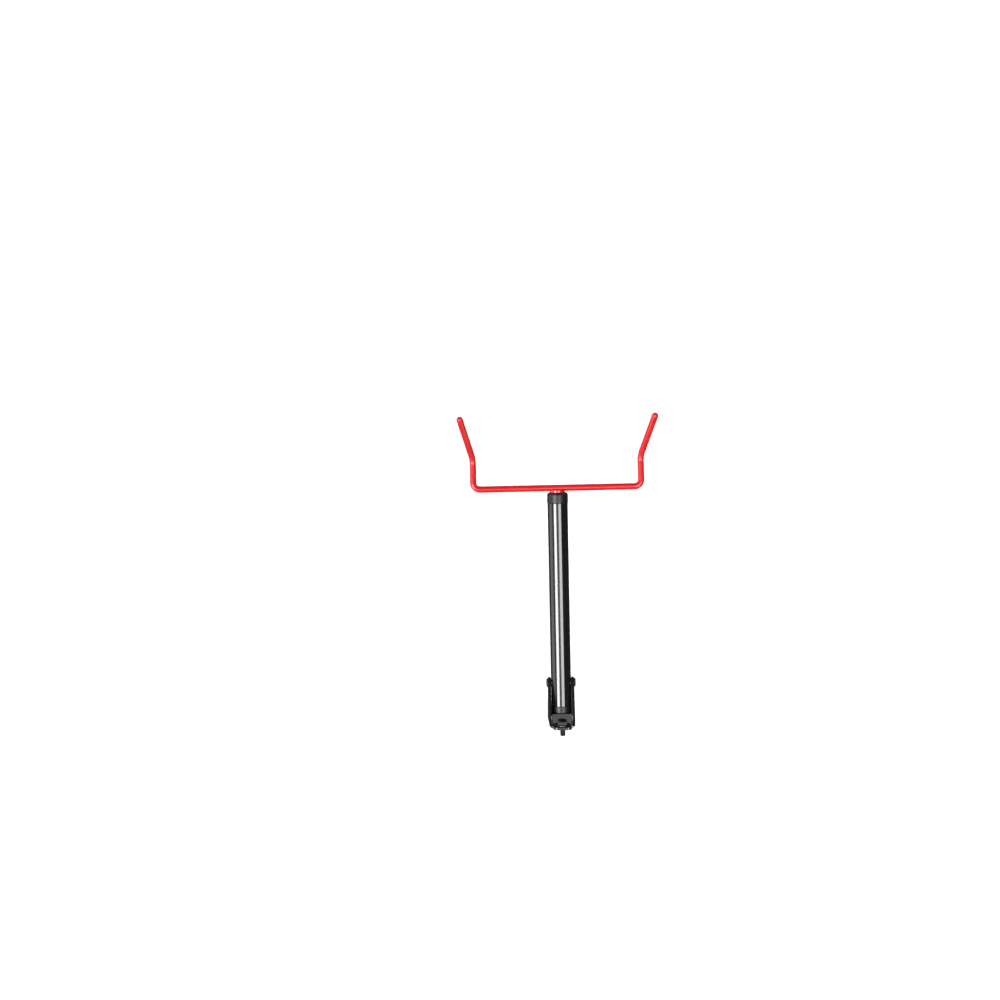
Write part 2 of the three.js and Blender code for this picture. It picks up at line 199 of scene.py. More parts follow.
def turned(name, profile, place, sides=96, closed=False):
    # a turned piece: the profile is (radius, along)
    return skin(name, circleRings(profile, sides), place, closed)


def inset(loop, distance):
    # a loop moved towards its left by the distance, corner by corner
    moved = []
    for i, point in enumerate(loop):
        back = (Vector(point) - Vector(loop[i - 1])).normalized()
        ahead = (Vector(loop[(i + 1) % len(loop)]) - Vector(point)).normalized()
        left = Vector((-back.y - ahead.y, back.x + ahead.x)).normalized()
        moved.append(Vector(point) + left * (distance / max(0.3, left.dot(Vector((-back.y, back.x))))))
    return moved


def platePiece(name, outline, holes, thickness, edgeRound, cuts, bend, place, trims=()):
    # a plate with rounded edges, cut out flat with its holes and then folded or rolled;
    # bend takes a point of the flat pattern and its depth under the outer face
    shape = bmesh.new()
    corners = [math.radians(a) for a in (0, 22.5, 45, 67.5, 90)]
    levels = [(edgeRound * (1 - math.sin(a)), edgeRound * (1 - math.cos(a))) for a in corners]
    levels += [(aside, thickness - depth) for aside, depth in reversed(levels)]
    rims = []
    for loop, anticlockwise in [(outline, True)] + [(loop, False) for loop in holes]:
        loop = [point for i, point in enumerate(loop) if math.dist(point, loop[i - 1]) > 1e-3]
        area = sum(a[0] * b[1] - b[0] * a[1] for a, b in zip(loop, loop[1:] + loop[:1]))
        if (area > 0) != anticlockwise:
            loop.reverse()
        rim = []
        for aside, depth in levels:
            rim.append([shape.verts.new((*point, -depth)) for point in inset(loop, aside)])
        rims.append(rim)
    for level in (0, -1):
        edges = []
        for rim in rims:
            edges += [shape.edges.new((rim[level][i - 1], rim[level][i])) for i in range(len(rim[level]))]
        bmesh.ops.triangle_fill(shape, edges=edges, use_beauty=True, normal=(0, 0, 1))
    for rim in rims:
        for upper, lower in zip(rim, rim[1:]):
            for i in range(len(upper)):
                shape.faces.new((upper[i - 1], upper[i], lower[i], lower[i - 1]))
    for cut in cuts:
        geometry = shape.verts[:] + shape.edges[:] + shape.faces[:]
        bmesh.ops.bisect_plane(shape, geom=geometry, dist=1e-5, plane_co=(cut, 0, 0), plane_no=(1, 0, 0))
    for trim in trims:
        geometry = shape.verts[:] + shape.edges[:] + shape.faces[:]
        outwards = (math.copysign(1, trim), 0, 0)
        bmesh.ops.bisect_plane(shape, geom=geometry, dist=1e-5, plane_co=(trim, 0, 0), plane_no=outwards,
                               clear_outer=True)
    for vert in shape.verts:
        vert.co = bend(vert.co.x, vert.co.y, -vert.co.z)
    return closeMesh(name, shape, place)


def settle(piece):
    # applies the modifiers, so the mesh is what shows
    graph = bpy.context.evaluated_depsgraph_get()
    data = bpy.data.meshes.new_from_object(piece.evaluated_get(graph), depsgraph=graph)
    piece.modifiers.clear()
    piece.data = data
    return piece


def smoothed(piece, limit=38):
    # smooth shading that stays flat on flat faces
    piece.data.shade_smooth()
    piece.data.set_sharp_from_angle(angle=math.radians(limit))
    weights = piece.modifiers.new("flatFaces", "WEIGHTED_NORMAL")
    weights.keep_sharp = True
    weights.mode = "FACE_AREA_WITH_ANGLE"
    return settle(piece)


def roundShaded(piece, place, radii):
    # exact normals on surfaces of revolution that long thin faces would shade badly
    data = piece.data
    inverse = place.inverted()
    turn = place.to_3x3()
    local = [inverse @ v.co / mm for v in data.vertices]
    reach = [math.hypot(p.x, p.z) for p in local]
    normals = [Vector(corner.vector) for corner in data.corner_normals]
    for face in data.polygons:
        for radius, way in radii:
            if all(abs(reach[i] - radius) < 0.02 for i in face.vertices):
                for loop in face.loop_indices:
                    point = local[data.loops[loop].vertex_index]
                    normals[loop] = turn @ Vector((point.x, 0, point.z)).normalized() * way
    data.normals_split_custom_set([tuple(n) for n in normals])
    return piece


def fitted(piece, body, slotName, look, *nodes):
    piece.data.materials.clear()
    piece.data.materials.append(look)
    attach(piece, body)
    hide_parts(*nodes)
    return piece


# finishes
class Amount:
    # a shader socket that can be used in sums

    def __init__(self, finish, socket):
        self.finish = finish
        self.socket = socket

    def sum(self, operation, first, second):
        return self.finish.node("ShaderNodeMath", {"operation": operation}, {0: first, 1: second})

    def __add__(self, other):
        return self.sum("ADD", self, other)

    __radd__ = __add__

    def __mul__(self, other):
        return self.sum("MULTIPLY", self, other)

    __rmul__ = __mul__

    def __sub__(self, other):
        return self.sum("SUBTRACT", self, other)

    def __rsub__(self, other):
        return self.sum("SUBTRACT", other, self)


class Finish:
    # one material: a shader with fixed values of its own, and the nodes that vary over the surface

    def __init__(self, name, **fixed):
        self.material = bpy.data.materials.new(name)
        self.material.use_nodes = True
        self.tree = self.material.node_tree
        self.tree.nodes.clear()
        self.shader = self.tree.nodes.new("ShaderNodeBsdfPrincipled")
        output = self.tree.nodes.new("ShaderNodeOutputMaterial")
        self.tree.links.new(self.shader.outputs[0], output.inputs["Surface"])
        for socketName, value in fixed.items():
            self.shader.inputs[socketName.replace("_", " ")].default_value = value
        self.place = self.node("ShaderNodeTexCoord", output="Object")

    def node(self, kind, settings=None, sockets=None, output=0):
        made = self.tree.nodes.new(kind)
        for name, value in (settings or {}).items():
            if name == "stops":
                ramp = made.color_ramp.elements
                for i, (at, shade) in enumerate(value):
                    stop = ramp[i] if i < 2 else ramp.new(at)
                    stop.position = at
                    stop.color = shade
            else:
                setattr(made, name, value)
        for key, value in (sockets or {}).items():
            if isinstance(value, Amount):
                self.tree.links.new(value.socket, made.inputs[key])
            else:
                made.inputs[key].default_value = value
        return Amount(self, made.outputs[output])

    def feed(self, **links):
        for name, value in links.items():
            self.tree.links.new(value.socket, self.shader.inputs[name.replace("_", " ")])
        return self.material

    def noise(self, size, detail=2, stretch=(1, 1, 1), roughness=0.5, distortion=0.0):
        # clouds of about this size in millimetres
        sockets = {"Vector": self.place, "Scale": stretch}
        scaled = self.node("ShaderNodeMapping", {"vector_type": "POINT"}, sockets)
        sockets = {"Vector": scaled, "Scale": 1 / (size * mm), "Detail": detail}
        sockets |= {"Roughness": roughness, "Distortion": distortion}
        return self.node("ShaderNodeTexNoise", {"noise_dimensions": "3D"}, sockets)

    def cells(self, size):
        sockets = {"Vector": self.place, "Scale": 1 / (size * mm)}
        return self.node("ShaderNodeTexVoronoi", {"feature": "F1"}, sockets)

    def between(self, value, low, high):
        # 0 below low, 1 above high, smooth between
        sockets = {"Value": value, "From Min": low, "From Max": high, "To Min": 0.0, "To Max": 1.0}
        return self.node("ShaderNodeMapRange", {"interpolation_type": "SMOOTHSTEP"}, sockets)

    def mixed(self, share, first, second):
        return self.node("ShaderNodeMix", {"data_type": "RGBA"}, {0: share, 6: first, 7: second}, output=2)

    def edges(self, radius):
        # strong on edges that stick out, nought on flats
        rounded = self.node("ShaderNodeBevel", {"samples": 6}, {"Radius": radius * mm})
        facing = self.node("ShaderNodeNewGeometry", output="Normal")
        sockets = {0: rounded, 1: facing}
        same = self.node("ShaderNodeVectorMath", {"operation": "DOT_PRODUCT"}, sockets, output=1)
        return self.between(1 - same, 0.02, 0.25)

    def hollows(self, reach):
        # strong where surfaces close in, as in corners and under heads
        sockets = {"Distance": reach * mm}
        openness = self.node("ShaderNodeAmbientOcclusion", {"samples": 6}, sockets, output="AO")
        return self.between(1 - openness, 0.35, 0.9)

    def near(self, point, radius):
        # 1 at a point of the rack, fading to 0 at the radius
        sockets = {0: self.place, 1: tuple(point)}
        offset = self.node("ShaderNodeVectorMath", {"operation": "SUBTRACT"}, sockets)
        length = self.node("ShaderNodeVectorMath", {"operation": "LENGTH"}, {0: offset}, output=1)
        return 1 - self.between(length, 0.35 * radius * mm, radius * mm)

    def bump(self, height, depth, strength=1.0):
        sockets = {"Strength": strength, "Distance": depth * mm, "Height": height}
        return self.node("ShaderNodeBump", None, sockets)


# Gloss black powder coat on the bracket, the arm and its hinge sleeve
blackPaint = {
    "colour": (0.0045, 0.0045, 0.0050, 1),
    "cloud": (0.0065, 0.0065, 0.0072, 1),   # where the coat lies a little thinner
    "dust": (0.11, 0.105, 0.10, 1),
    "dustAmount": 0.05,
    "worn": (0.055, 0.055, 0.058, 1),       # rubbed edges
    "roughness": 0.13,
    "roughnessSpread": 0.10,
    "peelSize": 2.4,                        # orange peel, mm
    "peelDepth": 0.005,
}


def blackPaintFinish():
    paint = Finish("blackPowderCoat", Coat_Weight=0.35, Coat_Roughness=0.05, IOR=1.48)
    patches = paint.noise(26, detail=3)
    handled = paint.between(paint.noise(60, detail=4, distortion=0.6), 0.45, 0.75)
    specks = paint.between(paint.noise(0.8, detail=1), 0.70, 0.78)
    edge = paint.edges(0.9) * paint.between(paint.noise(5, detail=3), 0.42, 0.62)
    corner = paint.hollows(7)
    dust = (corner * 0.6 + specks * handled * 0.6) * blackPaint["dustAmount"]
    base = paint.mixed(patches, blackPaint["colour"], blackPaint["cloud"])
    dusty = paint.mixed(dust, base, blackPaint["dust"])
    colour = paint.mixed(edge * 0.5, dusty, blackPaint["worn"])
    spread = blackPaint["roughnessSpread"]
    roughness = blackPaint["roughness"] + handled * (spread * 0.5) + dust * spread + edge * spread * 2
    peel = paint.bump(paint.noise(blackPaint["peelSize"], detail=1), blackPaint["peelDepth"])
    return paint.feed(Base_Color=colour, Roughness=roughness, Normal=peel)


# Thick glossy red coat on the cradle
redCoat = {
    "colour": (0.51, 0.0100, 0.0130, 1),
    "deepAndShaded": (0.43, 0.0070, 0.0095, 1),      # where the dip has run thicker, and painted shade in hollows
    "scuffed": (0.42, 0.020, 0.022, 1),
    "roughness": 0.27,
    "roughnessSpread": 0.12,
    "waveSize": 9,                          # slow waves left by the dip, mm
    "waveDepth": 0.05,
    "scuffReach": 26,                       # round each crook, mm
}


def redCoatFinish(scuffPoints):
    coat = Finish("redDipCoat", Coat_Weight=0.32, Coat_Roughness=0.12, IOR=1.45)
    thickness = coat.noise(redCoat["waveSize"] * 2, detail=2)
    first, second = [coat.near(point, redCoat["scuffReach"]) for point in scuffPoints]
    rubbed = first + second
    hairs = coat.between(coat.noise(1.1, detail=4, stretch=(6, 1, 1)), 0.55, 0.72)
    scuff = rubbed * hairs
    colour = coat.mixed(thickness, redCoat["colour"], redCoat["deepAndShaded"])
    # painted shade: the coat is darker in hollows, where surfaces close in
    colour = coat.mixed(coat.hollows(5) * 0.5, colour, redCoat["deepAndShaded"])
    colour = coat.mixed(scuff * 0.35, colour, redCoat["scuffed"])
    spread = redCoat["roughnessSpread"]
    haze = coat.between(coat.noise(34, detail=3, distortion=0.4), 0.4, 0.7)
    roughness = redCoat["roughness"] + haze * (spread * 0.3) + scuff * spread + rubbed * (spread * 0.3)
    wave = coat.bump(coat.noise(redCoat["waveSize"], detail=1), redCoat["waveDepth"])
    return coat.feed(Base_Color=colour, Roughness=roughness, Normal=wave)


# Bright zinc plating on the lock nut
zincPlate = {
    "colour": (0.55, 0.56, 0.58, 1),
    "warm": (0.56, 0.53, 0.45, 1),
    # painted shade in hollows
    "shadeInHollows": (0.23, 0.22, 0.21, 1),
    "roughness": 0.27,
    "roughnessSpread": 0.20,
}


def zincPlateFinish():
    zinc = Finish("zincPlate", Metallic=1.0)
    cloud = zinc.noise(7, detail=4)
    bloom = zinc.between(zinc.cells(3), 0.25, 0.7)
    colour = zinc.mixed(zinc.between(cloud, 0.4, 0.7), zincPlate["colour"], zincPlate["warm"])
    # painted shade: darker in hollows, where surfaces close in
    colour = zinc.mixed(zinc.hollows(3) * 0.7, colour, zincPlate["shadeInHollows"])
    roughness = zincPlate["roughness"] + cloud * (zincPlate["roughnessSpread"] * 0.6) + bloom * 0.08
    turningMarks = zinc.noise(0.5, detail=2, stretch=(1, 1, 4))
    return zinc.feed(Base_Color=colour, Roughness=roughness, Normal=zinc.bump(turningMarks, 0.01))


# Black oxide on the screws, washers and hinge
blackSteel = {
    "colour": (0.046, 0.046, 0.049, 1),
    "brown": (0.056, 0.051, 0.047, 1),
    "bare": (0.30, 0.30, 0.31, 1),          # rubbed through on edges
    "roughness": 0.30,
    "roughnessSpread": 0.22,
    "grainSize": 0.6,
}


def blackSteelFinish():
    steel = Finish("blackOxideSteel", Metallic=0.85)
    cloud = steel.noise(4, detail=4)
    edge = steel.edges(0.5) * steel.between(steel.noise(1.6, detail=3), 0.45, 0.62)
    colour = steel.mixed(cloud, blackSteel["colour"], blackSteel["brown"])
    colour = steel.mixed(edge * 0.45, colour, blackSteel["bare"])
    roughness = blackSteel["roughness"] + cloud * blackSteel["roughnessSpread"] - edge * 0.06
    grain = steel.noise(blackSteel["grainSize"], detail=3)
    return steel.feed(Base_Color=colour, Roughness=roughness, Normal=steel.bump(grain, 0.012))


# Satin moulded plastic on the tail cap, the front bush and the washers that rub
blackPlastic = {
    "colour": (0.0060, 0.0060, 0.0066, 1),
    "greyed": (0.0090, 0.0090, 0.0095, 1),
    "dust": (0.12, 0.115, 0.11, 1),
    "roughness": 0.33,
    "roughnessSpread": 0.12,
    "grainSize": 0.45,                      # the mould's fine texture, mm
    "grainDepth": 0.03,
}


def blackPlasticFinish():
    plastic = Finish("satinBlackPlastic", IOR=1.40)
    flow = plastic.noise(18, detail=3, stretch=(1, 0.3, 1))
    scuff = plastic.edges(0.8) * plastic.between(plastic.noise(2.5, detail=3), 0.4, 0.65)
    colour = plastic.mixed(flow, blackPlastic["colour"], blackPlastic["greyed"])
    colour = plastic.mixed(plastic.hollows(4) * 0.08 + scuff * 0.12, colour, blackPlastic["dust"])
    roughness = blackPlastic["roughness"] + flow * blackPlastic["roughnessSpread"] + scuff * 0.1
    texture = plastic.noise(blackPlastic["grainSize"], detail=2, roughness=0.6)
    grain = plastic.bump(texture, blackPlastic["grainDepth"])
    return plastic.feed(Base_Color=colour, Roughness=roughness, Normal=grain)


# Natural nylon on the rear bush
naturalNylon = {
    "colour": (0.66, 0.64, 0.57, 1),
    # grime, and painted shade in hollows
    "grimyAndShaded": (0.36, 0.33, 0.28, 1),
    "roughness": 0.38,
    "roughnessSpread": 0.16,
}


def naturalNylonFinish():
    nylon = Finish("naturalNylon", IOR=1.53)
    cloud = nylon.noise(5, detail=3)
    # painted shade in hollows, plus grime in random patches
    grimeAndShade = nylon.hollows(3) * 0.6 + nylon.between(nylon.noise(3, detail=4), 0.5, 0.8) * 0.2
    colour = nylon.mixed(grimeAndShade, naturalNylon["colour"], naturalNylon["grimyAndShaded"])
    roughness = naturalNylon["roughness"] + cloud * naturalNylon["roughnessSpread"]
    toolMarks = nylon.noise(0.7, detail=2, stretch=(1, 1, 3))
    return nylon.feed(Base_Color=colour, Roughness=roughness, Normal=nylon.bump(toolMarks, 0.012))


# wall bracket
wallBracket = {
    "plate": 4,              # steel thickness
    "height": 108,
    "earSpace": 31,          # inside, from ear to ear
    "bendRadius": 2,         # inside the bends
    "tabCorner": 6,
    "shoulder": 1,           # relief where the tab meets the ears
    "earTip": 8.5,
    "earRise": 19,
    "earDrop": 64,
    "hingeHole": 4.3,
    "screwHole": 4.3,
    "edgeRound": 0.55,
}
pivotOut = -hingePoint.y / mm
pivotUp = hingePoint.z / mm
screwSpots = {}
for spot in ("top", "mid", "low"):
    lowCorner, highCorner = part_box("wall_screw_" + spot)
    screwSpots[spot] = (lowCorner.z + highCorner.z) / 2 / mm


def bracketBlank():
    # the flat pattern, anticlockwise from the bottom centre: tab, ear, round tip, ear, tab
    b = wallBracket
    outerBend = b["bendRadius"] + b["plate"]
    flatHalf = b["earSpace"] / 2 + b["plate"] - outerBend
    bendLength = outerBend * math.pi / 2
    half = b["height"] / 2
    corner = b["tabCorner"]

    def unrolled(depth):
        # distance from the wall, as a distance across the blank
        if depth < outerBend:
            return flatHalf + outerBend * math.acos(1 - depth / outerBend)
        return flatHalf + bendLength + depth - outerBend

    def touch(height, side):
        # where the ear's straight edge from the wall runs into its round tip
        across = Vector((-pivotOut, height))
        radius = b["earTip"]
        angle = math.atan2(across.y, across.x) - side * math.acos(radius / across.length)
        return angle, Vector((pivotOut + radius * math.cos(angle), pivotUp + radius * math.sin(angle)))

    def slopingEdge(height, end):
        depths = [outerBend * (1 - math.cos(math.radians(a))) for a in range(26, 91, 8)]
        return [(unrolled(d), height + (end.y - height) / end.x * d) for d in depths]

    lowWall = pivotUp - b["earDrop"]
    highWall = pivotUp + b["earRise"]
    lowAngle, lowTouch = touch(-b["earDrop"], -1)
    highAngle, highTouch = touch(b["earRise"], 1)
    tip = arc2d((pivotOut, pivotUp), b["earTip"], math.degrees(lowAngle), math.degrees(highAngle), 6)
    lowShoulder = [(flatHalf, -half, 0), (flatHalf, lowWall, b["shoulder"]), (flatHalf + 4, lowWall, 0)]
    highShoulder = [(flatHalf + 4, highWall, 0), (flatHalf, highWall, b["shoulder"]), (flatHalf, half, 0)]
    right = arc2d((flatHalf - corner, -half + corner), corner, -90, 0)
    right += filleted(lowShoulder)[1:-1]
    right += slopingEdge(lowWall, lowTouch)
    right += [(unrolled(depth), height) for depth, height in tip]
    right += slopingEdge(highWall, highTouch)[::-1]
    right += filleted(highShoulder)[1:-1]
    right += arc2d((flatHalf - corner, half - corner), corner, 0, 90)
    left = [(-across, height) for across, height in reversed(right)]
    return right + left, unrolled, outerBend, flatHalf, bendLength


def roundHole(x, y, radius, sides=48):
    angles = [2 * math.pi * i / sides for i in range(sides)]
    return [(x + radius * math.cos(a), y + radius * math.sin(a)) for a in angles]


def bracketPlate(look):
    b = wallBracket
    outline, unrolled, outerBend, flatHalf, bendLength = bracketBlank()
    holes = [roundHole(0, height, b["screwHole"]) for height in screwSpots.values()]
    holes += [roundHole(side * unrolled(pivotOut), pivotUp, b["hingeHole"]) for side in (-1, 1)]
    cuts = [side * (flatHalf + bendLength * i / 10) for side in (-1, 1) for i in range(11)]

    def folded(across, height, depth):
        side = math.copysign(1, across)
        run = abs(across) - flatHalf
        if run <= 0:
            return Vector((across, -depth, height))
        if run >= bendLength:
            return Vector((side * (flatHalf + outerBend - depth), bendLength - outerBend - run, height))
        angle = run / outerBend
        radius = outerBend - depth
        aside = flatHalf + radius * math.sin(angle)
        return Vector((side * aside, radius * math.cos(angle) - outerBend, height))

    plate = platePiece("bracketPlate", outline, holes, b["plate"], b["edgeRound"], cuts, folded, Matrix())
    smoothed(plate)
    return fitted(plate, "bracket", "black_paint", look, "wall_bracket")


# The arm's tail comes up against the bridge's underside.
armSlope = math.atan2(armOutward.z, -armOutward.y)
bridge = {
    "front": 21,             # wall to the bridge's front edge
    "thick": 3,
    "corner": 1.2,
    "clear": 0.3,            # above the tail in use
    "beadRadius": 1.7,
    "beadPitch": 1.5,
    "beadEnds": 1.5,         # from a side bead's end to the bridge's edge
    "backBead": 0.85,        # the back bead's size, as a share of the side beads'
    "edgeRound": 0.6,
}


def weldBead(name, start, end, radius, pitch, place, look, body, node, slotName):
    # a fillet of overlapping drops, most of it sunk in the corner that it fills
    run = end - start
    count = max(12, int(run.length / 0.22))
    path = [start + run * i / count for i in range(count + 1)]
    bead = []
    for i in range(count + 1):
        along = run.length * i / count
        drop = abs(math.sin(math.pi * along / pitch + 0.4 * math.sin(along * 0.7)))
        toEnd = min(along, run.length - along)
        taper = math.sqrt(max(0.02, 1 - max(0.0, 1 - toEnd / radius) ** 2))
        bead.append(radius * taper * (0.94 + 0.06 * drop + 0.02 * math.sin(along * 1.9)))
    piece = skin(name, tubeRings(path, lambda i: bead[i], 20), place)
    smoothed(piece, 60)
    return fitted(piece, body, slotName, look, node)


def bridgePieces(look):
    b = wallBracket
    slope = (math.sin(armSlope), math.cos(armSlope))
    tailAtFront = (bridge["front"] - pivotOut + armTube["radius"] * slope[0]) / slope[1]
    under = pivotUp + tailAtFront * slope[0] + armTube["radius"] * slope[1] + bridge["clear"]
    half = b["earSpace"] / 2
    front = -bridge["front"]
    back = -b["plate"]
    corner = bridge["corner"]
    outline = filleted([(-half, front, corner), (half, front, corner), (half, back, 0), (-half, back, 0)])
    top = under + bridge["thick"]
    plate = platePiece("bridgePlate", outline, [], bridge["thick"], bridge["edgeRound"], [],
                       lambda x, y, depth: Vector((x, y, top - depth)), Matrix())
    smoothed(plate)
    fitted(plate, "bracket", "black_paint", look, "wall_bracket")
    radius = bridge["beadRadius"]
    ends = bridge["beadEnds"]
    for label, start, end, size in (
        ("Left", (-half, front + ends, top), (-half, back - ends, top), radius),
        ("Right", (half, front + ends, top), (half, back - ends, top), radius),
        ("Back", (-half + 2 * ends, back, top), (half - 2 * ends, back, top), radius * bridge["backBead"]),
    ):
        weldBead("bridgeWeld" + label, Vector(start), Vector(end), size, bridge["beadPitch"], Matrix(),
                 look, "bracket", "wall_bracket", "black_paint")


# screws and washers
wallScrew = {
    "length": 16,            # under the head
    "majorRadius": 4.0,
    "minorRadius": 3.35,
    "pitch": 1.25,
    "plain": 0.8,            # no thread under the head
    "threadStep": 0.16,      # between the rings that draw the thread
    "endChamfer": 1.0,
    "headFlats": 13,
    "headHeight": 5.3,
    "chamfer": 0.92,         # circle on the head's top, as a share of its flats
    "seat": 6.2,             # wall to the underside of the head
}
wallWasher = {"outer": 9, "hole": 4.3, "back": 4.3, "thick": 1.6, "round": 0.25}


def hexReach(flats):
    # centre to the edge of a hexagon, by angle
    return lambda angle: flats / 2 / math.cos(angle % (math.pi / 3) - math.pi / 6)


def hexHeadRings(flats, height, chamfer, sides=96):
    hexagon = hexReach(flats)
    top = chamfer * flats / 2
    slope = math.tan(math.radians(30))
    stations = [(lambda a: hexagon(a) * 0.975, 0), (hexagon, 0.22)]
    drop = (hexagon(0) - top) * slope
    for i in range(9):
        fall = drop * (1 - i / 8)
        stations.append((lambda a, f=fall: min(hexagon(a), top + f / slope), height - fall))
    stations += [(top * 0.78, height), (top * 0.70, height - 0.22), (0, height - 0.3)]
    return circleRings(stations, sides)


def hexScrew(name, place, look, node):
    s = wallScrew
    sides = 72
    major = s["majorRadius"]
    minor = s["minorRadius"]
    threaded = s["length"] - s["plain"]
    stations = [(0, -s["length"])]
    count = int(threaded / s["threadStep"])
    for i in range(count + 1):
        fromTip = threaded * i / count
        largest = major - max(0.0, s["endChamfer"] - fromTip)

        def thread(angle, fromTip=fromTip, largest=largest):
            phase = (fromTip / s["pitch"] + angle / (2 * math.pi)) % 1
            ridge = min(1.0, 1.2 * (1 - abs(2 * phase - 1)))
            return min(largest, minor + (major - minor) * ridge)

        stations.append((thread, -s["length"] + fromTip))
    stations += [(major, -0.6), (major, -0.3), (major + 0.2, 0)]
    head = hexHeadRings(s["headFlats"], s["headHeight"], s["chamfer"], sides)
    piece = smoothed(skin(name, circleRings(stations, sides) + head, place), 32)
    return fitted(piece, "bracket", "black_steel", look, node)


def wallFixings(look):
    headOut = Matrix.Rotation(math.pi, 4, "X")
    w = wallWasher
    for spot, height in screwSpots.items():
        turnedBy = Matrix.Rotation({"top": 0.35, "mid": 0.9, "low": -0.25}[spot], 4, "Y")
        seat = Matrix.Translation(Vector((0, -wallScrew["seat"], height)) * mm)
        hexScrew("hexScrew" + spot.title(), seat @ headOut @ turnedBy, look, "wall_screw_" + spot)
        r = w["round"]
        front = -w["back"] - w["thick"]
        profile = filleted([(w["hole"], front, r), (w["outer"], front, r),
                            (w["outer"], -w["back"], r), (w["hole"], -w["back"], r)], step=30)
        place = Matrix.Translation(Vector((0, 0, height)) * mm)
        washer = smoothed(turned("wallWasher" + spot.title(), profile, place, 72, closed=True))
        fitted(washer, "bracket", "black_steel", look, "wall_washer_" + spot)


# hinge
hinge = {
    "seat": 19.8,            # centre plane to the underside of each head
    "headRadius": 6.5,
    "headHeight": 2.2,
    "keyFlats": 4,
    "keyDepth": 1.5,
    "barrelRadius": 4,
    "barrelEnd": 19.5,
    "boreRadius": 2.5,
    "boreDepth": 24,
    "screwRadius": 2.2,
    "screwLength": 20,
    "sleeveOuter": 7,
    "sleeveHalf": 14.5,
    "washerOuter": 7,
    "washerInner": 4.3,
    "washerFaces": (14.8, 15.2),
}


def lowHeadRings(radius, height, flats, depth, sides=96):
    # a low domed head with a hexagonal socket; its underside is at 0
    hexagon = hexReach(flats)
    floor = height - depth
    stations = [(radius * 0.95, 0), (radius, 0.15)]
    for i in range(9):
        angle = math.pi / 2 * i / 8
        reach = 0.62 * radius + 0.38 * radius * math.cos(angle)
        stations.append((reach, height * (0.38 + 0.62 * math.sin(angle))))
    stations += [(lambda a: hexagon(a) * 1.12, height), (hexagon, height - 0.16), (hexagon, floor)]
    stations += [(lambda a: hexagon(a) * 0.9, floor), (0, floor - 0.35)]
    return circleRings(stations, sides)


def headedPin(name, radius, length, head, place, bore=None, sides=96):
    # bore is the radius and the depth of a blind hole from the pin's end
    stations = [(0, -length)]
    if bore:
        inside, depth = bore
        floor = -length + depth
        stations = [(0, floor + 0.9), (inside, floor), (inside, -length + 0.3), (inside + 0.3, -length)]
    stations += [(radius - 0.3, -length), (radius, -length + 0.3), (radius, -0.25), (radius + 0.2, 0)]
    return smoothed(skin(name, circleRings(stations, sides) + head, place), 32)


def hingePieces(steel, paint, plastic):
    h = hinge
    towardsRight = Matrix.Translation(hingePoint) @ Matrix.Rotation(-math.pi / 2, 4, "Z")
    towardsLeft = Matrix.Translation(hingePoint) @ Matrix.Rotation(math.pi / 2, 4, "Z")
    out = Matrix.Translation((0, h["seat"] * mm, 0))
    head = lowHeadRings(h["headRadius"], h["headHeight"], h["keyFlats"], h["keyDepth"])
    barrel = headedPin("hingeBarrel", h["barrelRadius"], h["seat"] + h["barrelEnd"], head,
                       towardsLeft @ out, (h["boreRadius"], h["boreDepth"]))
    fitted(barrel, "bracket", "black_steel", steel, "hinge_barrel")
    screw = headedPin("hingeScrew", h["screwRadius"], h["screwLength"], head,
                      towardsRight @ out @ Matrix.Rotation(0.3, 4, "Y"))
    fitted(screw, "bracket", "black_steel", steel, "hinge_screw")
    inner = h["washerInner"]
    ends = h["sleeveHalf"]
    sleeve = filleted([(inner, -ends, 0.3), (h["sleeveOuter"], -ends, 0.4),
                       (h["sleeveOuter"], ends, 0.4), (inner, ends, 0.3)], step=30)
    piece = smoothed(turned("hingeSleeve", sleeve, towardsRight, 72, closed=True))
    fitted(piece, "arm", "black_paint", paint, "hinge_sleeve")
    for label, side in (("left", -1), ("right", 1)):
        low, high = sorted(side * face for face in h["washerFaces"])
        section = filleted([(inner, low, 0.1), (h["washerOuter"], low, 0.15),
                            (h["washerOuter"], high, 0.15), (inner, high, 0.1)], step=30)
        piece = smoothed(turned("frictionWasher" + label.title(), section, towardsRight, 96, closed=True))
        fitted(piece, "bracket", "black_plastic", plastic, "friction_washer_" + label)


# arm
armTube = {
    "radius": 15,
    "wall": 2,
    "front": 270.16,         # hinge to the tube's front end
    "tail": 34,              # hinge to its rear end
    "hingeHole": 7.3,
    "slotHalfAngle": 35.3,   # degrees each side of straight down
    "slotHalfWidth": 3.3,
    "slotReach": 243.16,
    "edgeRound": 0.3,
    "strips": 96,
}


